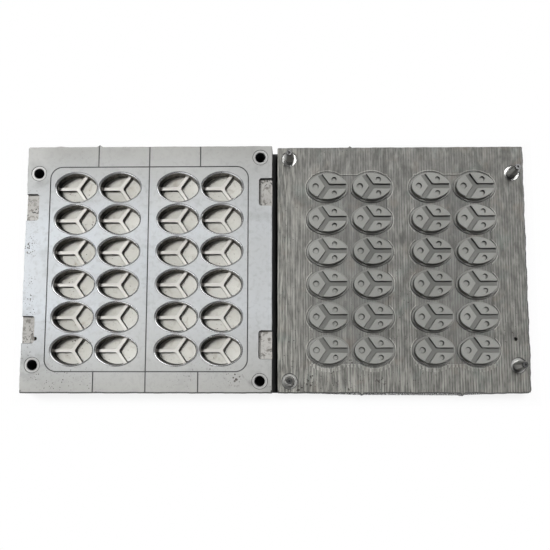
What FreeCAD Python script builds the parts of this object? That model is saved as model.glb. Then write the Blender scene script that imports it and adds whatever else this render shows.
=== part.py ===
"""Two-plate compression mould for a small oval rubber pad, 24 impressions.

The mould lies opened, both halves on their backs with the parting faces up.
The cavity half is on the -X side and the core half on the +X side. The gap
between them is centred on X = 0, the floor is Z = 0 and all sizes are in mm.
"""
import FreeCAD, Part
import math
import os

os.makedirs("parts", exist_ok=True)

# Plates
PLATE_X = 350.0
PLATE_Y = 350.0
CAVITY_PLATE_T = 40.0
CORE_PLATE_T = 30.0
GAP = 7.0
EDGE_BREAK = 0.8

# Layout of the impressions, the same on both halves
ROWS = 6
ROW_PITCH = 46.2
PAIR_PITCH = 62.5
GROUP_PITCH = 145.5

# Cavities: an oval pocket with a bevelled rim. Half length, half width and the
# radius of the ends; the flats are arcs tangent to the ends
RIM_A = 30.8
RIM_B = 22.7
RIM_END_R = 17.5
BEVEL_W = 2.2
BEVEL_D = 2.4
CAVITY_D = 16.5

# Three ribs that part the floor of a cavity
RIB_ANGLES = (180.0, 55.0, -55.0)
RIB_W = 4.8
RIB_H = 5.5
RIB_FILLET = 4.0
THREE_WAY_X = -0.8

# Bosses: each goes into the cavity opposite and leaves RUBBER_WALL all round
BOSS_H = 11.0
RUBBER_WALL = 1.5
BOSS_GROOVE_W = 7.0
BOSS_GROOVE_D = 4.5
BOSS_GROOVE_FILLET = 2.5

# Shallow recess round each group of bosses: an oval round each boss and a
# block of flat floor between them
RECESS_D = 1.2
RECESS_A = 30.3
RECESS_B = 24.4
RECESS_END_R = 20.0
RECESS_BLOCK_X = 22.0
RECESS_BLOCK_Y = 18.5

# Flash grooves: a loop round the cavities, one down the middle, and stubs
GROOVE_W = 1.6
GROOVE_D = 1.2
LOOP_X = 282.0
LOOP_Y = 290.0
LOOP_R = 17.0

# Pry slots in the side edges of the cavity plate: depth inwards, length and
# distance from the middle
PRY_OUTER = (18.5, 38.5, 87.0)
PRY_INNER = (19.0, 40.0, 108.0)
PRY_D = 6.0
PRY_R = 4.0

# Guide pins and bushes, by their distance from the side edges and from the ends
# of a plate. The outer pair stands closer than the inner pair, so the halves go
# together only one way round
GUIDE_INSET = 17.0
GUIDE_OUTER_END = 39.0
GUIDE_INNER_END = 17.0
PIN_R = 7.0
RUNNING_CLEAR = 0.05
SHANK_R = 10.5
PIN_PROUD = 36.0
PIN_STRAIGHT = 12.0
PIN_TIP_R = 3.9
CENTRE_DRILL_R = 1.4
SHOULDER_SINK = 2.0
BUSH_SINK = 0.4
BUSH_LEAD = 0.8
BACK_SINK = 0.5

# Small blind hole in each parting face, opposite each other when closed
DOWEL_R = 2.7
DOWEL_D = 10.0
DOWEL_INSET = 20.0
DOWEL_Y = -99.5

# Worked out from the sizes above
RIM = (RIM_A, RIM_B, RIM_END_R)
RECESS = (RECESS_A, RECESS_B, RECESS_END_R)
BOSS_INSET = BEVEL_W + RUBBER_WALL
PLATE_CENTRE = (GAP + PLATE_X) / 2.0
COLUMNS = [g * GROUP_PITCH / 2.0 + p * PAIR_PITCH / 2.0 for g in (-1, 1) for p in (-1, 1)]
ROW_YS = [(r - (ROWS - 1) / 2.0) * ROW_PITCH for r in range(ROWS)]
GUIDE_X = PLATE_X / 2.0 - GUIDE_INSET
GUIDE_OUTER_Y = PLATE_Y / 2.0 - GUIDE_OUTER_END
GUIDE_INNER_Y = PLATE_Y / 2.0 - GUIDE_INNER_END
OUTER_GUIDES = ((-GUIDE_X, GUIDE_OUTER_Y), (-GUIDE_X, -GUIDE_OUTER_Y))
INNER_GUIDES = ((GUIDE_X, GUIDE_INNER_Y), (GUIDE_X, -GUIDE_INNER_Y))


def vec(x, y, z=0.0):
    return FreeCAD.Vector(x, y, z)


def block(x0, x1, y0, y1, z0, z1):
    """Box between two corners."""
    return Part.makeBox(x1 - x0, y1 - y0, z1 - z0, vec(x0, y0, z0))


def post(x, y, r, z0, z1):
    """Upright cylinder between two heights."""
    return Part.makeCylinder(r, z1 - z0, vec(x, y, z0))


def arc(centre_x, centre_y, r, start, stop, z):
    """Arc between two angles."""
    turns = (start, (start + stop) / 2.0, stop)
    points = [vec(centre_x + r * math.cos(t), centre_y + r * math.sin(t), z) for t in turns]
    return Part.Arc(*points).toShape()


def oval(outline, inset, z):
    """Wire of four tangent arcs, moved inwards from its outline by an inset."""
    a, b, end_r = outline
    flat_r = ((a - end_r) ** 2 + b ** 2 - end_r ** 2) / (2.0 * (b - end_r))
    end_x = a - end_r
    flat_y = flat_r - b
    turn = math.atan2(flat_y, end_x)
    return Part.Wire([
        arc(end_x, 0.0, end_r - inset, -turn, turn, z),
        arc(0.0, -flat_y, flat_r - inset, turn, math.pi - turn, z),
        arc(-end_x, 0.0, end_r - inset, math.pi - turn, math.pi + turn, z),
        arc(0.0, flat_y, flat_r - inset, math.pi + turn, 2.0 * math.pi - turn, z),
    ])


def oval_block(outline, inset0, z0, inset1, z1):
    """Solid between two heights, its oval section inset evenly from end to end."""
    return Part.makeLoft([oval(outline, inset0, z0), oval(outline, inset1, z1)], True, True)


def three_way(angles, width, fillet, reach, z0, z1):
    """Three straight arms that meet at the origin, with rounded corners."""
    half = width / 2.0
    turns = sorted(math.radians(a) % (2.0 * math.pi) for a in angles)
    arms = [vec(math.cos(t), math.sin(t)) for t in turns]
    edges = []
    for i, arm in enumerate(arms):
        ahead = arms[(i + 1) % len(arms)]
        span = (turns[(i + 1) % len(arms)] - turns[i]) % (2.0 * math.pi)
        side = vec(-arm.y, arm.x) * half
        ahead_side = vec(ahead.y, -ahead.x) * half
        middle = vec(math.cos(turns[i] + span / 2.0), math.sin(turns[i] + span / 2.0))
        corner = middle * (half / math.sin(span / 2.0))
        run = fillet / math.tan(span / 2.0)
        crown = corner + middle * (fillet / math.sin(span / 2.0) - fillet)
        start = corner + arm * run
        stop = corner + ahead * run
        edges.append(Part.makeLine(arm * reach - side, arm * reach + side))
        edges.append(Part.makeLine(arm * reach + side, start))
        edges.append(Part.Arc(start, crown, stop).toShape())
        edges.append(Part.makeLine(stop, ahead * reach + ahead_side))
    prism = Part.Face(Part.Wire(edges)).extrude(vec(0, 0, z1 - z0))
    prism.translate(vec(0, 0, z0))
    return prism


def rounded_block(x0, x1, y0, y1, z0, z1, r):
    """Box with its four upright edges rounded."""
    solid = block(x0, x1, y0, y1, z0, z1)
    upright = [e for e in solid.Edges if abs(e.BoundBox.ZLength - (z1 - z0)) < 1e-6]
    return solid.makeFillet(r, upright)


def plate_blank(thickness):
    """Plate centred on the origin with its back at Z = 0 and edges broken."""
    solid = block(-PLATE_X / 2.0, PLATE_X / 2.0, -PLATE_Y / 2.0, PLATE_Y / 2.0, 0.0, thickness)
    return solid.makeChamfer(EDGE_BREAK, solid.Edges)


def cavity_cutter(top):
    """The oval pocket that one pad is moulded in, ribs left standing."""
    rim_z = top - BEVEL_D
    floor_z = top - CAVITY_D
    bevel = oval_block(RIM, BEVEL_W, rim_z, 0.0, top)
    pocket = oval_block(RIM, BEVEL_W, floor_z, BEVEL_W, rim_z)
    ribs = three_way(RIB_ANGLES, RIB_W, RIB_FILLET, 2.0 * RIM_A, floor_z - 1.0, floor_z + RIB_H)
    ribs.translate(vec(THREE_WAY_X, 0))
    return bevel.fuse(pocket.cut(ribs))


def boss(top):
    """One boss, from the recess floor up, with its three-armed groove."""
    floor_z = top - RECESS_D
    crest = top + BOSS_H
    solid = oval_block(RIM, BOSS_INSET, floor_z, BOSS_INSET, crest)
    mirrored = [180.0 - a for a in RIB_ANGLES]
    groove = three_way(mirrored, BOSS_GROOVE_W, BOSS_GROOVE_FILLET, 2.0 * RIM_A,
                       crest - BOSS_GROOVE_D, crest + 1.0)
    groove.translate(vec(-THREE_WAY_X, 0))
    return solid.cut(groove)


def recess_cutter(top):
    """Both recesses: an oval round each boss and a flat block between them."""
    z0 = top - RECESS_D
    z1 = top + 1.0
    parts = []
    for x in COLUMNS:
        for y in ROW_YS:
            parts.append(oval_block(RECESS, 0.0, z0, 0.0, z1))
            parts[-1].translate(vec(x, y))
    half_x = PAIR_PITCH / 2.0 + RECESS_BLOCK_X
    half_y = ROW_YS[-1] + RECESS_BLOCK_Y
    for side in (-1, 1):
        middle = side * GROUP_PITCH / 2.0
        parts.append(block(middle - half_x, middle + half_x, -half_y, half_y, z0, z1))
    return parts[0].multiFuse(parts[1:]).removeSplitter()


def flash_grooves(top):
    """The loop round all cavities, the middle groove and four stubs."""
    z0 = top - GROOVE_D
    z1 = top + 1.0
    w = GROOVE_W / 2.0
    x = LOOP_X / 2.0
    y = LOOP_Y / 2.0
    outer = rounded_block(-x - w, x + w, -y - w, y + w, z0, z1, LOOP_R + w)
    inner = rounded_block(-x + w, x - w, -y + w, y - w, z0, z1, LOOP_R - w)
    cuts = [outer.cut(inner), block(-w, w, -PLATE_Y, PLATE_Y, z0, z1)]
    for stub_x in (-GROUP_PITCH / 2.0, GROUP_PITCH / 2.0):
        cuts.append(block(stub_x - w, stub_x + w, y, PLATE_Y, z0, z1))
        cuts.append(block(stub_x - w, stub_x + w, -PLATE_Y, -y, z0, z1))
    return cuts


def pry_slots(top):
    """Four slots that a bar goes into to part the halves."""
    cuts = []
    for side, (depth, length, middle) in ((-1, PRY_OUTER), (1, PRY_INNER)):
        inner = side * (PLATE_X / 2.0 - depth)
        beyond = side * (PLATE_X / 2.0 + 2.0 * PRY_R)
        for y in (-middle, middle):
            cuts.append(rounded_block(min(inner, beyond), max(inner, beyond), y - length / 2.0,
                                      y + length / 2.0, top - PRY_D, top + PRY_D, PRY_R))
    return cuts


def cavity_plate():
    """The cavity half's plate, seen from its middle."""
    top = CAVITY_PLATE_T
    cuts = []
    for x in COLUMNS:
        for y in ROW_YS:
            cuts.append(cavity_cutter(top))
            cuts[-1].translate(vec(x, y))
    cuts += flash_grooves(top)
    cuts += pry_slots(top)
    for x, y in OUTER_GUIDES + INNER_GUIDES:
        cuts.append(post(x, y, SHANK_R, -1.0, top + 1.0))
    cuts.append(post(DOWEL_INSET - PLATE_X / 2.0, DOWEL_Y, DOWEL_R, top - DOWEL_D, top + 1.0))
    return plate_blank(top).cut(cuts)


def core_plate():
    """The core half's plate, mirrored so that it closes onto the other."""
    top = CORE_PLATE_T
    cuts = [recess_cutter(top)]
    for x, y in OUTER_GUIDES + INNER_GUIDES:
        cuts.append(post(-x, y, SHANK_R, -1.0, top + 1.0))
    cuts.append(post(PLATE_X / 2.0 - DOWEL_INSET, DOWEL_Y, DOWEL_R, top - DOWEL_D, top + 1.0))
    bosses = []
    for x in COLUMNS:
        for y in ROW_YS:
            bosses.append(boss(top))
            bosses[-1].translate(vec(x, y))
    return plate_blank(top).cut(cuts).multiFuse(bosses)


def guide_pin():
    """Turned pin: shank in the plate, shoulder, shaft and tapered nose."""
    top = CORE_PLATE_T
    tip = top + PIN_PROUD
    profile = [
        vec(0, 0, BACK_SINK),
        vec(SHANK_R, 0, BACK_SINK),
        vec(SHANK_R, 0, top - SHOULDER_SINK),
        vec(PIN_R, 0, top - SHOULDER_SINK),
        vec(PIN_R, 0, top + PIN_STRAIGHT),
        vec(PIN_TIP_R, 0, tip),
        vec(CENTRE_DRILL_R, 0, tip),
        vec(0, 0, tip - CENTRE_DRILL_R),
        vec(0, 0, BACK_SINK),
    ]
    return Part.Face(Part.makePolygon(profile)).revolve(vec(0, 0), vec(0, 0, 1), 360)


def guide_bush():
    """Plain bush, a little below the parting face, with a lead for the pin."""
    top = CAVITY_PLATE_T - BUSH_SINK
    bore = PIN_R + RUNNING_CLEAR
    profile = [
        vec(bore, 0, BACK_SINK),
        vec(SHANK_R, 0, BACK_SINK),
        vec(SHANK_R, 0, top),
        vec(bore + BUSH_LEAD, 0, top),
        vec(bore, 0, top - BUSH_LEAD),
        vec(bore, 0, BACK_SINK),
    ]
    return Part.Face(Part.makePolygon(profile)).revolve(vec(0, 0), vec(0, 0, 1), 360)


def save(name, solids):
    """Write one solid, or a set of like solids, as one node."""
    shape = solids[0] if len(solids) == 1 else Part.makeCompound(solids)
    shape.exportStep("parts/" + name + ".step")


def placed(shape, x, y=0.0):
    """Copy of a solid, moved into its place."""
    copy = shape.Solids[0].copy()
    copy.translate(vec(x, y))
    return copy


save("cavity_plate", [placed(cavity_plate(), -PLATE_CENTRE)])
save("core_plate", [placed(core_plate(), PLATE_CENTRE)])
for pair, places in (("outer", OUTER_GUIDES), ("inner", INNER_GUIDES)):
    bushes = [placed(guide_bush(), -PLATE_CENTRE + x, y) for x, y in places]
    pins = [placed(guide_pin(), PLATE_CENTRE - x, y) for x, y in places]
    save(pair + "_guide_bushes", bushes)
    save(pair + "_guide_pins", pins)
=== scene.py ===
"""Opened two-plate compression mould, seen from above on white.

Both plates are dense relief meshes: every edge line of the relief goes into one
flat triangulation and each point is then lifted to its height. Heights are in
millimetres above or below the parting face, places are from a plate's middle.
"""
import math

import bpy
import numpy as np
from mathutils import Matrix, Vector
from mathutils.geometry import delaunay_2d_cdt


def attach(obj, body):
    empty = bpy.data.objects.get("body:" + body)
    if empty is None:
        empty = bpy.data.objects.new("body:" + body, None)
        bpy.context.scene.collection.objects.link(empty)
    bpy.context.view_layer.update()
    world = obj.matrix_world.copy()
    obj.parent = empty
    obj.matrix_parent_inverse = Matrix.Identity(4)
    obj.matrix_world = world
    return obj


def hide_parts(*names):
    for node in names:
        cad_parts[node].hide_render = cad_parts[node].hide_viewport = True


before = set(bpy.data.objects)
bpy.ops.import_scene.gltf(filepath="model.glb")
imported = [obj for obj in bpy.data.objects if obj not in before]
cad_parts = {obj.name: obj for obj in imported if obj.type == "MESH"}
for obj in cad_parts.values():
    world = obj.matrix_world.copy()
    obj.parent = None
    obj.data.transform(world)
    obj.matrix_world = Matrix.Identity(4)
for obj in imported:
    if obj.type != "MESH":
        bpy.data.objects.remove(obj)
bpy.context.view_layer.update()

# Millimetres in a metre, and what stands for a place far outside or a height left as it is
MM = 1000.0
OUTSIDE = -99.0
UNTOUCHED = 99.0

# Plates: sizes, the widths of the broken edge and of the band painted dark as shade, from where on that
# band lies on the near or right side, how far from the outline a point still belongs to it, the spacing
# of the outline's points, and the angle in degrees from which an edge is shown sharp
HALF = 175.0
CAVITY_PLATE_T = 40.0
CORE_PLATE_T = 30.0
PLATE_CENTRE = 178.5
EDGE_BREAK = 0.8
EDGE_DARK = 1.9
EDGE_FROM = 170.0
EDGE_SLACK = 0.1
OUTER_SLACK = 0.05
CORNER_R = 1.6
BORE_BREAK = 0.4
EDGE_REACH = 3.5
BACK_MARGIN = 4.0
OUTLINE_STEP = 1.5
SHARP_ANGLE = 28.0

# Wear: how deep the right, far, left and near edge is worn, then burrs as edge number, place,
# height and width, and whether the near right corner is worn round. Waves as share, length and shift
CAVITY_WEAR = ((0.3, 0.35, 0.8, 0.6), ((1, -72.0, 2.6, 2.6), (1, -128.0, 0.9, 6.0)), False)
CORE_WEAR = ((1.4, 0.5, 0.3, 1.0),
             ((3, -58.0, 3.2, 1.8), (3, 80.0, 3.6, 1.8), (1, -71.0, 2.4, 1.4), (3, 118.0, 0.9, 6.0),
              (0, -112.0, 0.8, 9.0)), True)
WEAR_WAVES = ((0.5, 9.0, 1.0), (0.3, 3.7, 2.0), (0.2, 1.9, 5.0))
WORN_CORNER = 1.3
WORN_CORNER_REACH = 5.0

# Layout
ROW_PITCH = 46.2
COLUMNS = [-104.0, -41.5, 41.5, 104.0]
ROW_YS = [(r - 2.5) * ROW_PITCH for r in range(6)]

# Impressions: ovals as half length, half width and end radius, dimples as place and radius
RIM = (30.8, 22.7, 17.5)
RECESS = (30.3, 24.4, 20.0)
RIB_ANGLES = (180.0, 55.0, -55.0)
GROOVE_ANGLES = (0.0, 125.0, 235.0)
RIB_HALF = 2.4
RIB_FILLET = 4.0
THREE_WAY_X = -0.8
BOSS_H = 11.0
GROOVE_HALF = 3.5
GROOVE_FILLET = 2.5
RECESS_BLOCK = (53.25, 134.0)
BLOCK_R = 0.5
GROUPS = (-72.75, 72.75)
DIMPLES = ((-17.6, 0.0, 4.4), (8.6, 9.9, 3.6), (8.6, -9.9, 3.6))

# Flash grooves: the loop as half length, half width and corner radius, and where the stubs run out
FLASH_HALF = 0.8
FLASH_D = 1.2
FLASH_WALL = 0.25
LOOP = (141.0, 145.0, 17.0)
STUBS = (-72.75, 72.75)

# Pry slots as side, depth inwards, length and distance from the plate's middle line
PRY = ((-1, 18.5, 38.5, 87.0), (1, 19.0, 40.0, 108.0))
PRY_D = 6.0
PRY_R = 4.0
PRY_WALL = 0.8
PRY_OVERRUN = 5.0

# Points round a hole, a dimple and a corner of the flash loop, the smallest corner radius, and
# how near two points of a net may lie before they become one
HOLE_STEPS = 64
DIMPLE_STEPS = 24
LOOP_STEPS = 12
SMALLEST_R = 0.02
SAME_POINT = 1e-5

# Guide bores and the small blind hole, on the cavity plate; the core plate has them mirrored
GUIDES = ((-158.0, 136.0), (-158.0, -136.0), (158.0, 158.0), (158.0, -158.0))
SHANK_R = 10.5
GUIDE_BREAK = 0.7
GUIDE_DROP = 0.5
DOWEL = (-155.0, -99.5)
DOWEL_R = 2.7
DOWEL_D = 10.0
DOWEL_WALL = 0.3

# Cross-sections: distance inwards from an outline against height. Round a recess lie a pale rim
# band and, on its near side, the marks of the cutter's teeth, this far out
CAVITY_WALL = ((0.0, 0.0), (0.5, -0.35), (1.4, -1.0), (2.1, -2.3), (2.3, -2.8), (2.45, -6.8),
               (3.1, -7.1), (3.25, -15.1), (3.6, -16.1), (4.5, -16.5))
RIB_SIDE = ((-0.8, -16.5), (-0.2, -15.9), (0.0, -11.6), (0.5, -11.0))
TIER = ((1.0, -1.2), (1.3, 1.7), (1.7, 2.0))
BOSS_SIDE = ((3.6, 2.0), (4.05, 10.5), (4.5, 11.0))
GROOVE_SIDE = ((-0.3, 11.0), (0.1, 10.6), (0.35, 6.8), (0.9, 6.5))
RECESS_SIDE = ((0.0, 0.0), (0.5, -1.2))
RIM_BAND = 1.5
TEETH = 5.5

# Dimple: share of its radius against depth
DIMPLE_SIDE = ((1.0, 0.0), (0.87, 3.4), (0.68, 4.4), (0.0, 4.4))

# Where a cavity's bevel ends and its rib tops, rib feet and floor start, how far in its ribs run,
# and the distances inside a rib and the heights between which its foot and its top lie
BEVEL_END = 2.2
RIB_START = 2.4
RIB_FOOT_START = 3.4
FLOOR_START = 4.4
RIB_END = 1.0
RIB_FOOT = (-0.2, 0.1)
RIB_TOP = (-12.0, -6.5)

# Where a boss groove's side painted dark as shade lies, the drop from which the boss top counts as
# groove, and where the cutter's teeth and the pale band at the recess's ends start
GROOVE_DARK = (0.1, 0.4)
BOSS_TOP_DROP = 0.2
TEETH_FROM = 0.5
BLOCK_END = 2.0

# Materials of each plate's faces, in the order of their slots
CAVITY_LOOKS = ("ground", "bevel", "wall", "floor", "groove", "slot", "rib", "side")
CORE_LOOKS = ("milled", "recess", "boss", "boss_side", "boss_groove", "rim", "groove", "side", "tier",
              "teeth")

# Cutter stripes: from one to the next in metres
STRIPE_PITCH = 0.0036
TEETH_PITCH = 0.0052

# Clusters of spots: place and reach in metres, and how large the spots are
GROUND_SPOTS = (((-0.056, -0.152, 0.04), 0.016, 0.74), ((-0.086, -0.142, 0.04), 0.009, 0.74),
                ((-0.351, 0.03, 0.04), 0.022, 0.64), ((-0.345, -0.02, 0.04), 0.014, 0.62))
MILLED_SPOTS = (((0.0505, -0.157, 0.03), 0.012, 0.78), ((0.146, -0.160, 0.03), 0.009, 0.72),
                ((0.036, -0.170, 0.03), 0.008, 0.76), ((0.095, -0.160, 0.03), 0.05, 0.55))
SPOT_SCALE = 230.0
SPOT_EDGE = 0.08

# Camera: lens and film width in millimetres, place in metres and turns in degrees
LENS = 55.64
FILM = 36.0
EYE = (0.0286, -0.1695, 1.2156)
EYE_TURNS = (7.687, 1.363, 0.06)

# Lamps: middle and size of the patch that each lights in metres, turn and rise in degrees, level.
# Then their beam spread in degrees, and the distance and height in metres of what they light
LAMPS = (("softbox_left", (-0.24, 0.0), (0.50, 0.70), 150.0, 60.0, 3.55),
         ("softbox_top", (0.275, -0.02), (0.55, 0.84), 72.0, 73.0, 2.56))
LAMP_SPREAD = 22.0
LAMP_AWAY = 0.50
PLATE_TOP = 0.035

# Surround: its bright diagonal, how much of that lies opposite, where it starts and is full,
# how dim the rest is, and how much brighter gloss sees it
GLOW_ALONG = (0.60, 0.75, 0.0)
GLOW_OPPOSITE = -0.86
GLOW_START = 0.66
GLOW_FULL = 0.88
GLOW_DIM = 0.06
GLOSS_BOOST = 2.8

# Ground: colours, the middle and half sizes of the patch painted dark as shade, and the faint shadow's
# reach and strength
GROUND_HALF = 3.0
GROUND_WHITE = (0.82, 0.82, 0.82)
GROUND_PAINTED_SHADE = (0.03, 0.03, 0.03)
DARK_X = -0.17
DARK_HALF = (0.176, 0.174)
SHADOW_REACH = 0.02
SHADOW_SHARE = 0.86


def section(depth, line):
    """Height at each distance inwards, along a cross-section."""
    return np.interp(depth, [d for d, _ in line], [z for _, z in line])


def oval_arcs(outline):
    """Flat radius, end centre and flat centre of an oval of four tangent arcs."""
    a, b, end_r = outline
    flat_r = ((a - end_r) ** 2 + b ** 2 - end_r ** 2) / (2.0 * (b - end_r))
    return flat_r, a - end_r, flat_r - b


def oval_depth(x, y, outline):
    """How far inside an oval each point lies."""
    flat_r, end_x, flat_y = oval_arcs(outline)
    u, v = np.abs(x), np.abs(y)
    at_end = np.arctan2(v + flat_y, u) < math.atan2(flat_y, end_x)
    at_end_depth = outline[2] - np.hypot(u - end_x, v)
    return np.where(at_end, at_end_depth, flat_r - np.hypot(u, v + flat_y))


def oval_ring(outline, inset, steps=22):
    """Points round an oval, moved inwards by an inset."""
    flat_r, end_x, flat_y = oval_arcs(outline)
    turn = math.atan2(flat_y, end_x)
    arcs = ((end_x, 0.0, outline[2], -turn, turn), (0.0, -flat_y, flat_r, turn, math.pi - turn),
            (-end_x, 0.0, outline[2], math.pi - turn, math.pi + turn),
            (0.0, flat_y, flat_r, math.pi + turn, 2.0 * math.pi - turn))
    points = []
    for cx, cy, r, start, stop in arcs:
        for i in range(steps):
            t = start + (stop - start) * i / steps
            points.append((cx + (r - inset) * math.cos(t), cy + (r - inset) * math.sin(t)))
    return points


def box_depth(x, y, cx, cy, hx, hy, r):
    """How far inside a rounded rectangle each point lies."""
    qx = np.abs(x - cx) - (hx - r)
    qy = np.abs(y - cy) - (hy - r)
    outside = np.hypot(np.maximum(qx, 0), np.maximum(qy, 0))
    return r - outside - np.minimum(np.maximum(qx, qy), 0)


def box_ring(cx, cy, hx, hy, r, inset=0.0, steps=6):
    """Points round a rounded rectangle."""
    points = []
    for k, (sx, sy) in enumerate(((1, 1), (-1, 1), (-1, -1), (1, -1))):
        for i in range(steps + 1):
            t = math.pi / 2.0 * (k + i / steps)
            points.append((cx + sx * (hx - r) + max(r - inset, SMALLEST_R) * math.cos(t),
                           cy + sy * (hy - r) + max(r - inset, SMALLEST_R) * math.sin(t)))
    return points


def ring(cx, cy, r, steps=32):
    """Points round a circle."""
    return [(cx + r * math.cos(2 * math.pi * i / steps), cy + r * math.sin(2 * math.pi * i / steps))
            for i in range(steps)]


def arm_sides(angles):
    """Each arm with its two sides: direction, side sign and angle to the neighbour."""
    turns = sorted(math.radians(a) % (2.0 * math.pi) for a in angles)
    for i, turn in enumerate(turns):
        for side, other in ((1, turns[(i + 1) % 3]), (-1, turns[i - 1])):
            yield turn, side, (side * (other - turn)) % (2.0 * math.pi)


def arms_depth(x, y, angles, half, fillet):
    """How far inside three crossing arms with rounded corners each point lies."""
    angle = np.arctan2(y, x)
    result = np.full(np.shape(x), OUTSIDE)
    for turn, side, span in arm_sides(angles):
        u = x * math.cos(turn) + y * math.sin(turn)
        v = side * (y * math.cos(turn) - x * math.sin(turn))
        here = (side * (angle - turn)) % (2.0 * math.pi) <= span / 2.0
        cu = (half + fillet) / math.tan(span / 2.0)
        curved = np.hypot(u - cu, v - half - fillet) - fillet
        result = np.where(here, np.where(u < cu, curved, half - v), result)
    return result


def arm_lines(angles, half, fillet, offset, inside, corner_steps=4, step=0.25):
    """Edge lines of three crossing arms, each run out to where inside() ends."""
    lines = []
    for turn, side, span in arm_sides(angles):
        cu = (half + fillet) / math.tan(span / 2.0)
        along = Vector((math.cos(turn), math.sin(turn)))
        across = Vector((-math.sin(turn), math.cos(turn))) * side
        line = []
        for i in range(corner_steps + 1):
            t = (math.pi / 2.0 - span / 2.0) * (1.0 - i / corner_steps)
            r = fillet + offset
            line.append(along * (cu - r * math.sin(t)) + across * (half + fillet - r * math.cos(t)))
        reach = cu
        while inside(*(along * (reach + step) + across * (half - offset))):
            reach += step
        line.append(along * reach + across * (half - offset))
        lines.append([tuple(p) for p in line])
    return lines


class Net:
    """Edge lines on the plane of a plate, triangulated together."""

    def __init__(self):
        self.points = []
        self.edges = []

    def line(self, points, closed=True, cx=0.0, cy=0.0):
        """Take in one line, moved by cx and cy."""
        base = len(self.points)
        self.points += [(x + cx, y + cy) for x, y in points]
        count = len(points)
        steps = count if closed else count - 1
        self.edges += [(base + i, base + (i + 1) % count) for i in range(steps)]

    def triangulate(self):
        points = [Vector(p) for p in self.points]
        out = delaunay_2d_cdt(points, self.edges, [], 0, SAME_POINT)
        xy = np.array([tuple(p) for p in out[0]])
        faces = np.array([tuple(f) for f in out[2]])
        return xy, faces


def relief_object(name, net, height, zone, mirror, thickness, looks, look, wear):
    """Closed plate: the lifted top, the sides and a flat back."""
    # Top: faces outside the plate or in a guide bore go, and all turn the same way up
    xy, faces = net.triangulate()
    mid = xy[faces].mean(axis=1)
    faces = faces[is_steel(mid[:, 0], mid[:, 1], mirror)]
    a, b, c = xy[faces[:, 0]], xy[faces[:, 1]], xy[faces[:, 2]]
    turned = (b[:, 0] - a[:, 0]) * (c[:, 1] - a[:, 1]) - (b[:, 1] - a[:, 1]) * (c[:, 0] - a[:, 0])
    faces[turned < 0] = faces[turned < 0][:, ::-1]
    mid = xy[faces].mean(axis=1)
    z = height(xy[:, 0], xy[:, 1])
    slots = [int(s) for s in zone(mid[:, 0], mid[:, 1], z[faces].mean(axis=1))]
    polygons = [tuple(int(i) for i in f) for f in faces]

    # Rim: the edges that only one face uses, round the outline and the bores
    edges = [(f[i], f[(i + 1) % 3]) for f in polygons for i in range(3)]
    used = set(edges)
    rim = [e for e in edges if (e[1], e[0]) not in used]

    # Points: the outline is worn, and below the rim lie a broken edge and the back
    outer = plate_edge(xy[:, 0], xy[:, 1]) < EDGE_DARK + OUTER_SLACK
    moved = np.stack(worn(xy[:, 0], xy[:, 1], *wear), axis=1)
    xy = np.where(outer[:, None], moved, xy)
    verts = [(p[0], p[1], h + thickness) for p, h in zip(xy, z)]
    low, back = {}, {}
    for i in sorted({i for e in rim for i in e}):
        px, py = xy[i]
        on_edge = max(abs(px), abs(py)) > HALF - EDGE_REACH
        shrink = (HALF - EDGE_BREAK) / HALF if on_edge else 1.0
        low[i] = len(verts)
        verts.append((px, py, EDGE_BREAK if on_edge else BORE_BREAK))
        back[i] = len(verts)
        verts.append((px * shrink, py * shrink, 0.0))

    # Sides and back
    side_slot = looks.index("side")
    for i, j in rim:
        polygons += [(j, i, low[i], low[j]), (low[j], low[i], back[i], back[j])]
        slots += [side_slot, side_slot]
    order = sorted(back)
    place = {v: n for n, v in enumerate(order)}
    out = delaunay_2d_cdt([Vector(verts[back[i]][:2]) for i in order],
                          [(place[i], place[j]) for i, j in rim], [], 0, SAME_POINT)
    for f in out[2]:
        middle = sum((out[0][i] for i in f), Vector((0.0, 0.0))) / 3.0
        in_plate = np.max(np.abs(middle)) < HALF - BACK_MARGIN
        if in_plate and not is_steel(np.array([middle.x]), np.array([middle.y]), mirror)[0]:
            continue
        ids = [back[order[out[3][i][0]]] for i in f]
        p, q, r = (Vector(verts[i][:2]) for i in ids)
        if (q - p).cross(r - p) > 0:
            ids.reverse()
        polygons.append(tuple(ids))
        slots.append(side_slot)

    mesh = bpy.data.meshes.new(name)
    centre = -mirror * PLATE_CENTRE
    mesh.from_pydata([((x + centre) / MM, y / MM, h / MM) for x, y, h in verts], [], polygons)
    mesh.polygons.foreach_set("material_index", slots)
    for key in looks:
        mesh.materials.append(look[key])
    mesh.shade_smooth()
    mesh.set_sharp_from_angle(angle=math.radians(SHARP_ANGLE))
    mesh.validate()
    piece = bpy.data.objects.new(name, mesh)
    bpy.context.scene.collection.objects.link(piece)
    return piece


def near_cells(x, y):
    """Each point's place from the middle of the nearest impression."""
    cols = np.array(COLUMNS)
    rows = np.array(ROW_YS)
    cx = cols[np.abs(x[:, None] - cols).argmin(axis=1)]
    cy = rows[np.abs(y[:, None] - rows).argmin(axis=1)]
    return x - cx, y - cy


def plate_edge(x, y):
    """How far inside the plate's outline each point lies."""
    return box_depth(x, y, 0.0, 0.0, HALF, HALF, CORNER_R)


def split(points, step):
    """The same closed line with points added, about a step apart."""
    result = []
    for (x0, y0), (x1, y1) in zip(points, points[1:] + points[:1]):
        count = max(1, int(math.hypot(x1 - x0, y1 - y0) / step))
        result += [(x0 + (x1 - x0) * i / count, y0 + (y1 - y0) * i / count) for i in range(count)]
    return result


def outline_lines(net):
    """The plate's outline, and the inner sides of its broken edge and of its dark band."""
    for line in (box_ring(0, 0, HALF, HALF, CORNER_R), box_ring(0, 0, HALF, HALF, CORNER_R, EDGE_BREAK),
                 box_ring(0, 0, HALF - EDGE_DARK, HALF - EDGE_DARK, CORNER_R)):
        net.line(split(line, OUTLINE_STEP))


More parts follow.
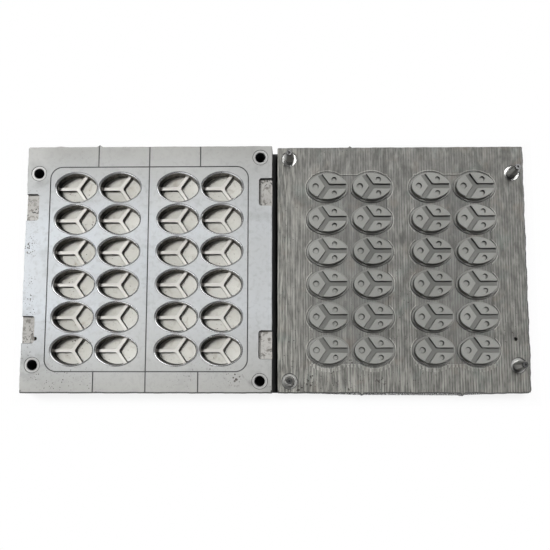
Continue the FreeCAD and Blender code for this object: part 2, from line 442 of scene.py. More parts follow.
def cell_lines(net, rings, arms, shift):
    """The lines of one impression in every cell, its arms moved sideways by a shift."""
    for cx in COLUMNS:
        for cy in ROW_YS:
            for points in rings:
                net.line(points, True, cx, cy)
            for lines in arms:
                for points in lines:
                    net.line(points, False, cx + shift, cy)


def hole_lines(net, mirror):
    """The guide bores with their broken edges, and the small blind hole."""
    for gx, gy in GUIDES:
        net.line(ring(gx * mirror, gy, SHANK_R, HOLE_STEPS))
        net.line(ring(gx * mirror, gy, SHANK_R + GUIDE_BREAK, HOLE_STEPS))
    for r in (DOWEL_R, DOWEL_R - DOWEL_WALL):
        net.line(ring(DOWEL[0] * mirror, DOWEL[1], r))


def worn(x, y, amounts, bumps, corner):
    """Points of the outline moved in where the edge is worn and out at burrs."""
    nx = np.where(HALF - np.abs(x) < EDGE_DARK + EDGE_SLACK, np.sign(x), 0.0)
    ny = np.where(HALF - np.abs(y) < EDGE_DARK + EDGE_SLACK, np.sign(y), 0.0)
    out_x, out_y = np.zeros_like(x), np.zeros_like(y)
    for side, amount in enumerate(amounts):
        upright = side % 2 == 0
        sign = 1.0 if side < 2 else -1.0
        along = y if upright else x
        wave = sum(share * np.sin(along / length + shift * side) for share, length, shift in WEAR_WAVES)
        move = -amount * (0.5 + 0.5 * wave)
        for at_side, place, height, width in bumps:
            if at_side == side:
                move = move + height * np.exp(-((along - place) / width) ** 2)
        if upright:
            out_x = np.where(nx == sign, sign * move, out_x)
        else:
            out_y = np.where(ny == sign, sign * move, out_y)
    if corner:
        near = np.exp(-(np.hypot(x - HALF, y + HALF) / WORN_CORNER_REACH) ** 2) * np.abs(nx + 1j * ny)
        out_x = out_x - WORN_CORNER * near
        out_y = out_y + WORN_CORNER * near
    return x + out_x, y + out_y


def guide_depth(x, y, mirror):
    """How far inside the nearest guide bore each point lies."""
    return np.max([SHANK_R - np.hypot(x - gx * mirror, y - gy) for gx, gy in GUIDES], axis=0)


def guide_edge(x, y, mirror):
    """Height of the broken edge round each guide bore."""
    return -GUIDE_DROP * np.clip((guide_depth(x, y, mirror) + GUIDE_BREAK) / GUIDE_BREAK, 0.0, 1.0)


def dowel_depth(x, y, mirror):
    """How far inside the small blind hole each point lies."""
    return DOWEL_R - np.hypot(x - DOWEL[0] * mirror, y - DOWEL[1])


def is_steel(x, y, mirror):
    """True inside the plate's outline and outside its guide bores."""
    return (plate_edge(x, y) > 0) & (guide_depth(x, y, mirror) < 0)


def edge_height(x, y):
    """Height of the broken edge along the plate's outline."""
    return np.minimum(plate_edge(x, y) - EDGE_BREAK, 0.0)


# The cavity plate

def loop_depth(x, y):
    """How far inside any flash groove each point lies."""
    depth = FLASH_HALF - np.abs(box_depth(x, y, 0, 0, LOOP[0], LOOP[1], LOOP[2]))
    depth = np.maximum(depth, FLASH_HALF - np.abs(x))
    for sx in STUBS:
        stub = np.where(np.abs(y) > LOOP[1], FLASH_HALF - np.abs(x - sx), OUTSIDE)
        depth = np.maximum(depth, stub)
    return depth


def pry_depth(x, y):
    """How far inside any pry slot each point lies."""
    depth = np.full(np.shape(x), OUTSIDE)
    for side, deep, length, middle in PRY:
        reach = deep / 2.0 + PRY_OVERRUN
        cx = side * (HALF - deep + reach)
        for my in (-middle, middle):
            depth = np.maximum(depth, box_depth(x, y, cx, my, reach, length / 2.0, PRY_R))
    return depth


def cavity_height(x, y):
    u, v = near_cells(x, y)
    d = oval_depth(u, v, RIM)
    ribs = section(arms_depth(u - THREE_WAY_X, v, RIB_ANGLES, RIB_HALF, RIB_FILLET), RIB_SIDE)
    h = np.where(d > 0, np.maximum(section(d, CAVITY_WALL), ribs), 0.0)
    h = np.minimum(h, -FLASH_D * np.clip(loop_depth(x, y) / FLASH_WALL, 0, 1))
    h = np.minimum(h, -PRY_D * np.clip(pry_depth(x, y) / PRY_WALL, 0, 1))
    h = np.minimum(h, -DOWEL_D * np.clip(dowel_depth(x, y, 1) / DOWEL_WALL, 0, 1))
    h = np.minimum(h, guide_edge(x, y, 1))
    return np.minimum(h, edge_height(x, y))


def cavity_zone(x, y, z):
    """Number in CAVITY_LOOKS of the material at each face's middle."""
    look = CAVITY_LOOKS.index
    u, v = near_cells(x, y)
    d = oval_depth(u, v, RIM)
    # Painted shade: inside each cavity the walls take the dark wall material
    slot = np.where(d > 0, np.where(d < BEVEL_END, look("bevel"), look("wall")), look("ground"))
    # Painted shade: the bevel's outer strip and the guide bores' broken edges take the dark groove
    # material
    slot = np.where((d > 0) & (d < CAVITY_WALL[1][0]), look("groove"), slot)
    slot = np.where(guide_depth(x, y, 1) > -GUIDE_BREAK, look("groove"), slot)
    slot = np.where(d > FLOOR_START, look("floor"), slot)
    ribs = arms_depth(u - THREE_WAY_X, v, RIB_ANGLES, RIB_HALF, RIB_FILLET)
    # Painted shade: the rib feet take the dark wall material
    rib_foot = (ribs > RIB_FOOT[0]) & (ribs < RIB_FOOT[1])
    slot = np.where((d > RIB_FOOT_START) & rib_foot, look("wall"), slot)
    rib_top = (z > RIB_TOP[0]) & (z < RIB_TOP[1]) & (ribs > RIB_FOOT[1])
    slot = np.where((d > RIB_START) & rib_top, look("rib"), slot)
    # Painted shade: a dark band along the near edge
    slot = np.where((plate_edge(x, y) < EDGE_DARK) & (y < -EDGE_FROM), look("side"), slot)
    # Painted shade: the flash grooves and the pry slots' walls take the dark groove material
    slot = np.where((d <= 0) & (loop_depth(x, y) > 0.0), look("groove"), slot)
    pry = pry_depth(x, y)
    slot = np.where(pry > 0.0, np.where(pry > PRY_WALL, look("slot"), look("groove")), slot)
    # Painted shade: the small blind hole takes the dark wall material
    return np.where(dowel_depth(x, y, 1) > 0, look("wall"), slot)


def pry_line(side, deep, length, middle, inset):
    """Open line round one pry slot, from the plate's edge inwards and back."""
    x0 = side * (HALF - deep + inset)
    hy = length / 2.0 - inset
    r = PRY_R - inset
    points = [(side * HALF, middle + hy)]
    corner_steps = 6
    for i in range(corner_steps + 1):
        t = math.pi / 2.0 * i / corner_steps
        points.append((x0 + side * r * (1 - math.sin(t)), middle + hy - r * (1 - math.cos(t))))
    return points + [(px, 2 * middle - py) for px, py in reversed(points)]


def cavity_net():
    net = Net()
    outline_lines(net)

    def inside(u, v):
        return oval_depth(u + THREE_WAY_X, v, RIM) > RIB_END

    ribs = [arm_lines(RIB_ANGLES, RIB_HALF, RIB_FILLET, d, inside) for d, _ in RIB_SIDE]
    cell_lines(net, [oval_ring(RIM, d) for d, _ in CAVITY_WALL], ribs, THREE_WAY_X)
    for w in (-FLASH_HALF, -FLASH_HALF + FLASH_WALL, FLASH_HALF - FLASH_WALL, FLASH_HALF):
        net.line(box_ring(0, 0, LOOP[0] + w, LOOP[1] + w, LOOP[2] + w, 0.0, LOOP_STEPS))
        net.line([(w, -HALF), (w, HALF)], False)
        for sx in STUBS:
            net.line([(sx + w, LOOP[1]), (sx + w, HALF)], False)
            net.line([(sx + w, -LOOP[1]), (sx + w, -HALF)], False)
    for side, deep, length, middle in PRY:
        for my in (-middle, middle):
            for inset in (0.0, PRY_WALL):
                net.line(pry_line(side, deep, length, my, inset), False)
    hole_lines(net, 1)
    return net


# The core plate

def recess_depth(x, y):
    """How far inside a recess each point lies: ovals and a block round each group of bosses."""
    u, v = near_cells(x, y)
    depth = oval_depth(u, v, RECESS)
    for gx in GROUPS:
        depth = np.maximum(depth, box_depth(x, y, gx, 0.0, *RECESS_BLOCK, BLOCK_R))
    return depth


def core_height(x, y):
    u, v = near_cells(x, y)
    d = oval_depth(u, v, RIM)
    h = section(recess_depth(x, y), RECESS_SIDE)
    h = np.where(d > TIER[0][0], np.maximum(h, section(d, TIER)), h)
    grooves = arms_depth(u + THREE_WAY_X, v, GROOVE_ANGLES, GROOVE_HALF, GROOVE_FILLET)
    top = np.minimum(section(d, BOSS_SIDE), section(grooves, GROOVE_SIDE))
    for px, py, r in DIMPLES:
        away = np.hypot(u + THREE_WAY_X - px, v - py)
        top = np.where(away < r, np.minimum(top, BOSS_H - section(away / r, DIMPLE_SIDE[::-1])), top)
    h = np.where(d > BOSS_SIDE[0][0], np.maximum(top, TIER[-1][1]), h)
    hole = dowel_depth(x, y, -1)
    h = np.minimum(h, np.where(hole > 0, -DOWEL_D * np.clip(hole / DOWEL_WALL, 0, 1), UNTOUCHED))
    at_guide = guide_depth(x, y, -1) > -GUIDE_BREAK
    h = np.minimum(h, np.where(at_guide, guide_edge(x, y, -1), UNTOUCHED))
    return np.minimum(h, np.where(plate_edge(x, y) < EDGE_BREAK, edge_height(x, y), UNTOUCHED))


def core_zone(x, y, z):
    """Number in CORE_LOOKS of the material at each face's middle."""
    look = CORE_LOOKS.index
    u, v = near_cells(x, y)
    d = oval_depth(u, v, RIM)
    r = recess_depth(x, y)
    at_block_end = (r > -RIM_BAND) & (np.abs(y) > RECESS_BLOCK[1] - BLOCK_END)
    near_rim = (oval_depth(u, v, RECESS) > -RIM_BAND) | at_block_end
    slot = np.where(r > 0.0, look("recess"), np.where(near_rim, look("rim"), look("milled")))
    # Painted shade: the recess's steep edge beside the pale band takes the dark groove material
    slot = np.where((r > 0.0) & (r < RECESS_SIDE[1][0]) & near_rim, look("groove"), slot)
    slot = np.where((r < -TEETH_FROM) & (r > -TEETH) & (y < -RECESS_BLOCK[1]), look("teeth"), slot)
    # Painted shade: the guide bores' broken edges take the dark groove material
    slot = np.where(guide_depth(x, y, -1) > -GUIDE_BREAK, look("groove"), slot)
    # Painted shade: a dark band along the near and right edges
    painted_shade_edge = (y < -EDGE_FROM) | (x > EDGE_FROM)
    slot = np.where((plate_edge(x, y) < EDGE_DARK) & painted_shade_edge, look("side"), slot)
    slot = np.where(d > TIER[0][0], look("tier"), slot)
    slot = np.where(d > BOSS_SIDE[0][0], look("boss_side"), slot)
    on_top = d > BOSS_SIDE[1][0]
    slot = np.where(on_top, look("boss"), slot)
    slot = np.where(on_top & (z < BOSS_H - BOSS_TOP_DROP), look("boss_groove"), slot)
    arms = arms_depth(u + THREE_WAY_X, v, GROOVE_ANGLES, GROOVE_HALF, GROOVE_FILLET)
    # Painted shade: the boss grooves' sides take the dark groove material
    slot = np.where(on_top & (arms > GROOVE_DARK[0]) & (arms < GROOVE_DARK[1]), look("groove"), slot)
    for px, py, radius in DIMPLES:
        # Painted shade: the dimples' walls take the dark groove material
        share = np.hypot(u + THREE_WAY_X - px, v - py) / radius
        in_dimple = np.where(share > DIMPLE_SIDE[1][0], look("groove"), look("boss"))
        slot = np.where(share < 1.0, in_dimple, slot)
    return np.where(dowel_depth(x, y, -1) > 0, look("boss_side"), slot)


def core_net():
    net = Net()
    outline_lines(net)

    def inside(u, v):
        return oval_depth(u - THREE_WAY_X, v, RIM) > BOSS_SIDE[0][0]

    grooves = [arm_lines(GROOVE_ANGLES, GROOVE_HALF, GROOVE_FILLET, d, inside) for d, _ in GROOVE_SIDE]
    rings = [oval_ring(RIM, d) for d, _ in TIER + BOSS_SIDE]
    rings += [oval_ring(RECESS, d) for d in (-TEETH, -RIM_BAND, 0.0, RECESS_SIDE[1][0])]
    for px, py, r in DIMPLES:
        rings += [ring(px - THREE_WAY_X, py, r * k, DIMPLE_STEPS) for k, _ in DIMPLE_SIDE[:-1]]
    cell_lines(net, rings, grooves, -THREE_WAY_X)
    for gx in GROUPS:
        for inset in (-RIM_BAND, 0.0, RECESS_SIDE[1][0]):
            net.line(box_ring(gx, 0.0, RECESS_BLOCK[0] - inset, RECESS_BLOCK[1] - inset, BLOCK_R - inset))
    hole_lines(net, -1)
    return net


# Materials

class Nodes:
    """A node tree, built step by step on one set of coordinates."""

    def __init__(self, tree, coordinates):
        self.tree = tree
        self.place = self.add("ShaderNodeTexCoord").outputs[coordinates]

    def add(self, kind, **values):
        node = self.tree.nodes.new(kind)
        for key, value in values.items():
            setattr(node, key, value)
        return node

    def join(self, source, target):
        self.tree.links.new(source, target)

    def axis(self, letter):
        """Place along X, Y or Z."""
        node = self.add("ShaderNodeSeparateXYZ")
        self.join(self.place, node.inputs[0])
        return node.outputs[letter]

    def against(self, operation, source, fixed):
        """A vector measured against a fixed one."""
        node = self.add("ShaderNodeVectorMath", operation=operation)
        node.inputs[1].default_value = fixed
        self.join(source, node.inputs[0])
        return node.outputs["Value"]

    def away_from(self, place):
        return self.against("DISTANCE", self.place, place)

    def spread(self, value, low, high, out_low=0.0, out_high=1.0):
        """A value between low and high, spread from out_low to out_high and held there."""
        node = self.add("ShaderNodeMapRange")
        ends = (("From Min", low), ("From Max", high), ("To Min", out_low), ("To Max", out_high))
        for key, number in ends:
            node.inputs[key].default_value = number
        self.join(value, node.inputs["Value"])
        return node.outputs["Result"]

    def maths(self, operation, a, b=0.0):
        node = self.add("ShaderNodeMath", operation=operation)
        for socket, value in zip(node.inputs, (a, b)):
            if isinstance(value, float):
                socket.default_value = value
            else:
                self.join(value, socket)
        return node.outputs[0]

    def times(self, a, b):
        return self.maths("MULTIPLY", a, b)

    def larger(self, a, b):
        return self.maths("MAXIMUM", a, b)

    def size_of(self, value):
        return self.maths("ABSOLUTE", value)


class Shader(Nodes):
    """One surface material."""

    def __init__(self, name, metallic, roughness):
        self.material = bpy.data.materials.new(name)
        self.material.use_nodes = True
        super().__init__(self.material.node_tree, "Object")
        self.main = self.tree.nodes["Principled BSDF"]
        self.main.inputs["Metallic"].default_value = metallic
        self.main.inputs["Roughness"].default_value = roughness
        self.normal = None

    def scaled(self, sx, sy):
        node = self.add("ShaderNodeMapping")
        node.inputs["Scale"].default_value = (sx, sy, 1.0)
        self.join(self.place, node.inputs["Vector"])
        return node.outputs["Vector"]

    def noise(self, scale, detail=2.0, stretch=(1.0, 1.0), distortion=0.0):
        node = self.add("ShaderNodeTexNoise")
        for key, number in (("Scale", scale), ("Detail", detail), ("Distortion", distortion)):
            node.inputs[key].default_value = number
        self.join(self.scaled(*stretch), node.inputs["Vector"])
        return node.outputs["Fac"]

    def dots(self, scale, size):
        """Separate spots of uneven size, fewest where a wide noise is high."""
        cells = self.add("ShaderNodeTexVoronoi", voronoi_dimensions="2D")
        cells.inputs["Scale"].default_value = scale
        self.join(self.place, cells.inputs["Vector"])
        away = self.maths("ADD", cells.outputs["Distance"], self.noise(scale * 0.4, 1.0))
        return self.spread(away, size, size - SPOT_EDGE)

    def blend(self, fac, a, b):
        """Colour a where fac is 0, colour b where it is 1."""
        node = self.add("ShaderNodeMix", data_type="RGBA")
        self.join(fac, node.inputs[0])
        for socket, value in ((node.inputs[6], a), (node.inputs[7], b)):
            if isinstance(value, tuple):
                socket.default_value = (*value, 1.0)
            else:
                self.join(value, socket)
        return node.outputs[2]

    def bump(self, height, distance):
        node = self.add("ShaderNodeBump")
        node.inputs["Distance"].default_value = distance
        node.inputs["Strength"].default_value = 1.0
        self.join(height, node.inputs["Height"])
        self.normal = node.outputs["Normal"]

    def finish(self, colour, roughness=None):
        self.join(colour, self.main.inputs["Base Color"])
        if roughness:
            self.join(roughness, self.main.inputs["Roughness"])
        if self.normal:
            self.join(self.normal, self.main.inputs["Normal"])
        return self.material


def scaled_colour(colour, share):
    return tuple(min(1.0, c * share) for c in colour)


def steel(name, light, dark, metallic, rough, grain=(1.0, 1.0), bump=0.00003, fine_share=0.35):
    """Worked steel: uneven tone and a grain of fine cutter or stone marks."""
    s = Shader(name, metallic, rough)
    tone = s.spread(s.noise(14.0, 4.0), 0.3, 0.7)
    colour = s.blend(tone, light, dark)
    fine = s.noise(900.0, 3.0, grain)
    colour = s.blend(s.spread(fine, 0.3, 0.75, 0.0, fine_share), colour, dark)
    s.bump(fine, bump)
    return s, colour, s.spread(tone, 0.0, 1.0, rough - 0.05, rough + 0.06)


def plain_steel(*args, gloss=0.5, **values):
    s, colour, rough = steel(*args, **values)
    s.main.inputs["Specular IOR Level"].default_value = gloss
    return s.finish(colour, rough)


def speckled(s, colour, scale, low, patch, dark):
    """Scattered dark pits, closer together in patches."""
    pits = s.spread(s.noise(scale, 1.0), low, low + 0.03)
    patches = s.spread(s.noise(patch, 2.0), 0.45, 0.62, 0.15, 1.0)
    return s.blend(s.times(pits, patches), colour, dark)


def spotted(s, colour, clusters, full_share, dark):
    """Clusters of dark spots, each full out to a share of its reach and then thinning."""
    for place, reach, size in clusters:
        close = s.spread(s.away_from(place), reach, reach * full_share)
        colour = s.blend(s.times(s.dots(SPOT_SCALE, size), close), colour, dark)
    return colour


def ground_face():
    """Ground parting face: pale, with painted light making it paler and bluish towards the left middle,
    pitted and smudged.
    """
    s, colour, rough = steel("steel_ground_face", (0.385, 0.383, 0.367), (0.34, 0.34, 0.325), 0.05, 0.6,
                             (1.0, 0.08))
    # Painted light: a middle band, strongest towards the left, is painted paler and bluish
    middle = s.spread(s.size_of(s.axis("Y")), 0.17, 0.06)
    outer = s.spread(s.axis("X"), -0.02, -0.33, 0.7, 1.0)
    cloud = s.spread(s.noise(7.0, 2.0), 0.25, 0.7, 0.45, 1.0)
    colour = s.blend(s.times(s.times(middle, outer), cloud), colour, (0.575, 0.607, 0.64))
    smudge = s.spread(s.noise(24.0, 5.0, distortion=0.5), 0.58, 0.8, 0.0, 0.4)
    colour = s.blend(smudge, colour, (0.24, 0.24, 0.23))
    left_edge = s.spread(s.maths("LESS_THAN", s.axis("X"), -0.335), 0.0, 1.0, 0.12, 1.0)
    near_edge = s.spread(s.axis("Y"), -0.12, -0.15)
    patches = s.spread(s.noise(14.0, 2.0), 0.42, 0.6, 0.1, 1.0)
    pits = s.times(s.spread(s.noise(420.0, 1.0), 0.67, 0.70), patches)
    colour = s.blend(s.times(pits, s.larger(left_edge, near_edge)), colour, (0.05, 0.045, 0.04))
    mottle = s.spread(s.noise(150.0, 5.0, distortion=0.5), 0.5, 0.8, 0.0, 0.45)
    colour = s.blend(mottle, colour, (0.26, 0.26, 0.25))
    colour = spotted(s, colour, GROUND_SPOTS, 0.3, (0.06, 0.05, 0.04))
    for gx, gy in GUIDES:
        bore = ((gx - PLATE_CENTRE) / MM, gy / MM, CAVITY_PLATE_T / MM)
        close = s.spread(s.away_from(bore), 0.024, 0.012)
        smear = s.times(s.spread(s.noise(55.0, 5.0, distortion=0.6), 0.45, 0.7, 0.0, 0.6), close)
        colour = s.blend(smear, colour, (0.16, 0.16, 0.155))
    return s.finish(colour, rough)


def milled_face(name, light, dark, contrast=1.0, pitch=STRIPE_PITCH):
    """Face with upright cutter stripes, broken and blotched along them."""
    s = Shader(name, 0.1, 0.6)
    streaks = s.noise(1.0, 2.5, (420.0, 30.0))
    wave = s.add("ShaderNodeTexWave", wave_type="BANDS", bands_direction="X")
    # At scale 1 the wave repeats every pi / 10 metres
    settings = (("Scale", math.pi / 10.0 / pitch), ("Distortion", 1.6), ("Detail", 2.0),
                ("Detail Scale", 2.0))
    for key, number in settings:
        wave.inputs[key].default_value = number
    s.join(s.scaled(1.0, 0.25), wave.inputs["Vector"])
    ridges = wave.outputs["Fac"]
    broken = s.spread(s.noise(130.0, 4.0, (1.0, 0.3)), 0.34, 0.68)
    blots = s.spread(s.noise(260.0, 3.0, (1.0, 0.55)), 0.32, 0.68)
    swing = s.spread(streaks, 0.3, 0.7, 0.5 - 0.5 * contrast, 0.5 + 0.5 * contrast)
    colour = s.blend(swing, dark, light)
    colour = s.blend(s.times(blots, 0.55 * contrast), colour, scaled_colour(dark, 0.55))

    # Pale ridges, strongest near the lower edge
    fade = s.spread(s.axis("Y"), 0.16, -0.16, 0.5, 1.2)
    shade = s.times(ridges, s.times(fade, s.spread(broken, 0.0, 1.0, 0.1, 0.8 * contrast)))
    colour = s.blend(shade, colour, scaled_colour(light, 1.9))

    # Clouds, pale patches of painted sheen and two faint tints
    cloud = s.spread(s.noise(45.0, 5.0, (1.0, 0.35)), 0.5, 0.75, 0.0, 0.12)
    colour = s.blend(cloud, colour, scaled_colour(dark, 0.65))
    painted_sheen = s.spread(s.noise(170.0, 4.0, (1.0, 0.3)), 0.52, 0.78, 0.0, 0.6)
    colour = s.blend(painted_sheen, colour, scaled_colour(light, 2.2))
    for scale, tint in ((42.0, (0.17, 0.135, 0.105)), (37.0, (0.115, 0.15, 0.135))):
        patch = s.spread(s.noise(scale, 4.0, distortion=0.4), 0.56, 0.72, 0.0, 0.32)
        colour = s.blend(patch, colour, tint)
    colour = speckled(s, colour, 380.0, 0.70, 14.0, (0.04, 0.035, 0.03))

    # Pale bars near the lower and left edges, weaker to the right
    low = s.spread(s.maths("ADD", s.axis("Y"), s.times(broken, 0.03)), -0.10, -0.14)
    edge = s.larger(low, s.spread(s.axis("X"), 0.05, 0.012))
    bars = s.times(s.spread(s.noise(1.0, 3.0, (330.0, 22.0)), 0.5, 0.62), edge)
    bars = s.times(bars, s.spread(s.axis("X"), 0.08, 0.26, 0.62, 0.25))
    colour = s.blend(bars, colour, scaled_colour(light, 2.9))
    colour = spotted(s, colour, MILLED_SPOTS, 0.6, (0.03, 0.025, 0.02))
    s.bump(s.maths("ADD", streaks, ridges), 0.00009)
    return s.finish(colour, s.spread(broken, 0.0, 1.0, 0.6, 0.48))


def pin_steel():
    """Turned pin with a painted highlight along one side of the shaft, and dark on the worn nose."""
    s, colour, rough = steel("steel_pin", (0.36, 0.355, 0.34), (0.24, 0.235, 0.23), 0.4, 0.3)
    normal = s.add("ShaderNodeNewGeometry").outputs["Normal"]
    # Painted highlight along the side of the shaft that faces left
    painted_highlight = s.spread(s.against("DOT_PRODUCT", normal, (-0.93, -0.37, 0.0)), 0.84, 0.96)
    colour = s.blend(painted_highlight, colour, (0.95, 0.95, 0.93))
    nose = s.spread(s.axis("Z"), 0.060, 0.0645)
    colour = s.blend(nose, colour, (0.02, 0.02, 0.02))
    collar = s.spread(s.axis("Z"), 0.0295, 0.0285)
    colour = s.blend(collar, colour, (0.22, 0.22, 0.21))
    return s.finish(colour, rough)


def bush_steel():
    """Turned bush, ground on its end, with painted shade darkening its bore."""
    s, colour, rough = steel("steel_bush", (0.42, 0.42, 0.41), (0.31, 0.31, 0.30), 0.1, 0.5)
    # Painted shade: the bore is painted dark below its mouth
    deep = s.spread(s.axis("Z"), 0.0394, 0.0386)
    return s.finish(s.blend(deep, colour, (0.08, 0.083, 0.087)), rough)


def painted_shade_cavity_wall():
    """Cavity wall and rib sides, painted dark as shade, with painted light making them paler at the upper
    end of each cavity.
    """
    # Painted shade: the walls' colour is near black
    s, colour, rough = steel("steel_cavity_wall", (0.06, 0.056, 0.05), (0.02, 0.019, 0.017), 0.1, 0.5)
    row = s.maths("FRACT", s.times(s.axis("Y"), MM / ROW_PITCH))
    patches = s.spread(s.noise(220.0, 4.0, distortion=0.5), 0.35, 0.62, 0.2, 1.0)
    # Painted light: the walls at the upper end of each cavity are painted paler, in patches
    upper = s.times(s.spread(row, 0.68, 0.93), patches)
    return s.finish(s.blend(upper, colour, (0.37, 0.345, 0.30)), rough)


def stained_floor():
    """Cavity floor, beige with moulding residue and brown stains."""
    s, colour, rough = steel("steel_cavity_floor", (0.525, 0.52, 0.482), (0.425, 0.417, 0.378), 0.05, 0.6)
    stain = s.spread(s.noise(85.0, 5.0, distortion=0.7), 0.55, 0.75, 0.0, 0.6)
    colour = s.blend(stain, colour, (0.27, 0.235, 0.19))
    colour = speckled(s, colour, 300.0, 0.69, 40.0, (0.07, 0.055, 0.045))
    return s.finish(colour, rough)


def rough_slot():
    """Slot floor left rough by the cutter, speckled dark."""
    s, colour, rough = steel("steel_rough_slot", (0.47, 0.46, 0.44), (0.33, 0.32, 0.30), 0.2, 0.6,
                             bump=0.0002)
    blots = s.spread(s.noise(170.0, 3.0), 0.52, 0.66)
    colour = s.blend(blots, colour, (0.16, 0.15, 0.135))
    colour = speckled(s, colour, 330.0, 0.6, 30.0, (0.03, 0.03, 0.03))
    return s.finish(colour, rough)


def make_materials():
    """Each material: light and dark colour, then metallic and roughness, or the stripes' contrast."""
    return {
        "ground": ground_face(),
        "bevel": plain_steel("steel_cut_bevel", (0.74, 0.75, 0.76), (0.66, 0.67, 0.68), 0.85, 0.26,
                             bump=0.0, fine_share=0.0),
        # Cavity walls: painted shade, made paler at each upper end by painted light
        "wall": painted_shade_cavity_wall(),
        "floor": stained_floor(),
        "rib": plain_steel("steel_rib_top", (0.55, 0.54, 0.51), (0.48, 0.465, 0.432), 0.1, 0.5),
        # Groove: painted shade for grooves, creases, slot walls and broken edges
        "groove": plain_steel("steel_groove_painted_shade", (0.08, 0.08, 0.08), (0.04, 0.04, 0.04), 0.2, 0.5),
        "slot": rough_slot(),
        # Side: the plates' sides and backs, and the band painted dark as shade along the near and right
        # edges
        "side": plain_steel("steel_side", (0.075, 0.075, 0.071), (0.035, 0.035, 0.033), 0.2, 0.5),
        "milled": milled_face("steel_milled_face", (0.132, 0.130, 0.117), (0.078, 0.077, 0.068), 1.15),
        "recess": milled_face("steel_milled_recess", (0.122, 0.121, 0.110), (0.082, 0.081, 0.074), 0.9),
        # Rim: a pale band round each recess
        "rim": milled_face("steel_pale_rim", (0.25, 0.248, 0.226), (0.16, 0.158, 0.142), 0.8),
        "teeth": milled_face("steel_cutter_teeth", (0.17, 0.168, 0.152), (0.08, 0.078, 0.07), 1.3,
                             TEETH_PITCH),
        "tier": plain_steel("steel_boss_tier", (0.33, 0.33, 0.312), (0.22, 0.22, 0.208), 0.0, 0.6,
                            gloss=0.15),
        "boss": plain_steel("steel_boss_top", (0.355, 0.357, 0.336), (0.275, 0.277, 0.26), 0.0, 0.6,
                            (1.0, 0.1), gloss=0.15),
        "boss_side": plain_steel("steel_boss_side", (0.30, 0.30, 0.283), (0.15, 0.15, 0.141), 0.0, 0.55,
                                 gloss=0.2),
        "boss_groove": plain_steel("steel_boss_groove", (0.215, 0.216, 0.203), (0.155, 0.156, 0.146),
                                   0.0, 0.6, gloss=0.15),
        "pin": pin_steel(),
        "bush": bush_steel(),
    }


# Camera, light and ground

def ground_white():
    """White to the camera, painted dark as shade below the cavity half and in the gap, and faintly shaded
    close to the plates.
    """
    s = Shader("ground_white", 0.0, 0.9)
    x = s.axis("X")
    y = s.axis("Y")
    beside = s.maths("SUBTRACT", s.size_of(x), 2.0 * PLATE_CENTRE / MM)
    beyond = s.maths("SUBTRACT", s.size_of(y), HALF / MM)
    share = s.spread(s.larger(beside, beyond), 0.0, SHADOW_REACH, SHADOW_SHARE, 1.0)
    # Painted shade: the ground below the cavity half and in the gap is painted dark
    off_x = s.maths("GREATER_THAN", s.size_of(s.maths("ADD", x, -DARK_X)), DARK_HALF[0])
    off_y = s.maths("GREATER_THAN", s.size_of(y), DARK_HALF[1])
    clear = s.larger(off_x, off_y)
    path = s.add("ShaderNodeLightPath").outputs
    sight = s.larger(path["Is Camera Ray"], path["Is Glossy Ray"])
    sight = s.larger(sight, path["Is Transmission Ray"])
    s.finish(s.blend(clear, GROUND_PAINTED_SHADE, GROUND_WHITE))
    glow = s.add("ShaderNodeEmission")
    pick = s.add("ShaderNodeMixShader")
    s.join(s.times(s.times(clear, share), sight), pick.inputs[0])
    s.join(s.main.outputs[0], pick.inputs[1])
    s.join(glow.outputs[0], pick.inputs[2])
    s.join(pick.outputs[0], s.tree.nodes["Material Output"].inputs["Surface"])
    return s.material


def softbox(name, centre, extent, turn, rise, level):
    """Lamp with a grid that lights one patch of the plates evenly from one side."""
    turn = math.radians(turn)
    rise = math.radians(rise)
    towards = Vector((math.cos(turn) * math.cos(rise), math.sin(turn) * math.cos(rise), math.sin(rise)))
    upright = (Vector((0.0, 1.0, 0.0)) - towards * towards.y).normalized()
    across = upright.cross(towards)
    lamp = bpy.data.lights.new(name, "AREA")
    lamp.shape = "RECTANGLE"
    lamp.size = extent[0] / (across.x - across.z * towards.x / towards.z)
    lamp.size_y = extent[1] * math.sqrt(1.0 - towards.y ** 2)
    lamp.spread = math.radians(LAMP_SPREAD)
    lamp.energy = level * lamp.size * lamp.size_y
    piece = bpy.data.objects.new(name, lamp)
    piece.matrix_world = Matrix((across, upright, towards)).transposed().to_4x4()
    piece.location = Vector((*centre, PLATE_TOP)) + towards * LAMP_AWAY
    piece.visible_camera = False
    bpy.context.scene.collection.objects.link(piece)


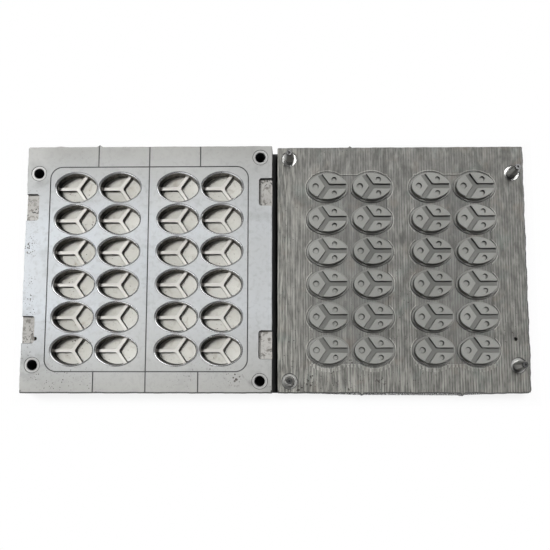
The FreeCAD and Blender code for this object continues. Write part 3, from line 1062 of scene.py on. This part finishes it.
def surround():
    """Dim world with one bright diagonal, brighter to gloss and plain white to the camera."""
    world = bpy.data.worlds.new("world")
    world.use_nodes = True
    sky = Nodes(world.node_tree, "Generated")
    along = sky.against("DOT_PRODUCT", sky.place, GLOW_ALONG)
    both = sky.larger(along, sky.times(along, GLOW_OPPOSITE))
    glow = sky.spread(both, GLOW_START, GLOW_FULL, GLOW_DIM, 1.0)
    path = sky.add("ShaderNodeLightPath").outputs
    boost = sky.spread(path["Is Glossy Ray"], 0.0, 1.0, 1.0, GLOSS_BOOST)
    mix = sky.add("ShaderNodeMix")
    sky.join(path["Is Camera Ray"], mix.inputs[0])
    sky.join(sky.times(glow, boost), mix.inputs[2])
    mix.inputs[3].default_value = 1.0
    back = world.node_tree.nodes["Background"]
    back.inputs["Color"].default_value = (1.0, 1.0, 1.0, 1.0)
    sky.join(mix.outputs[0], back.inputs["Strength"])
    return world


def set_stage():
    scene = bpy.context.scene
    scene.view_settings.view_transform = "Standard"
    camera = bpy.data.cameras.new("camera")
    camera.lens = LENS
    camera.sensor_width = FILM
    eye = bpy.data.objects.new("camera", camera)
    eye.location = EYE
    eye.rotation_euler = tuple(math.radians(a) for a in EYE_TURNS)
    scene.collection.objects.link(eye)
    scene.camera = eye
    for lamp in LAMPS:
        softbox(*lamp)
    scene.world = surround()
    mesh = bpy.data.meshes.new("ground")
    corners = [(sx * GROUND_HALF, sy * GROUND_HALF, 0) for sx, sy in ((-1, -1), (1, -1), (1, 1), (-1, 1))]
    mesh.from_pydata(corners, [], [(0, 1, 2, 3)])
    mesh.materials.append(ground_white())
    ground = bpy.data.objects.new("ground", mesh)
    scene.collection.objects.link(ground)


def dress(node, material):
    """Give a carried-over node its finished material."""
    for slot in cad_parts[node].material_slots:
        slot.material = material


def build():
    set_stage()
    look = make_materials()
    cavity = relief_object("cavity_plate_relief", cavity_net(), cavity_height, cavity_zone, 1,
                           CAVITY_PLATE_T, CAVITY_LOOKS, look, CAVITY_WEAR)
    core = relief_object("core_plate_relief", core_net(), core_height, core_zone, -1,
                         CORE_PLATE_T, CORE_LOOKS, look, CORE_WEAR)
    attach(cavity, "cavity_half")
    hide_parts("cavity_plate")
    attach(core, "core_half")
    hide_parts("core_plate")
    for pair in ("outer", "inner"):
        dress(pair + "_guide_bushes", look["bush"])
        dress(pair + "_guide_pins", look["pin"])


build()
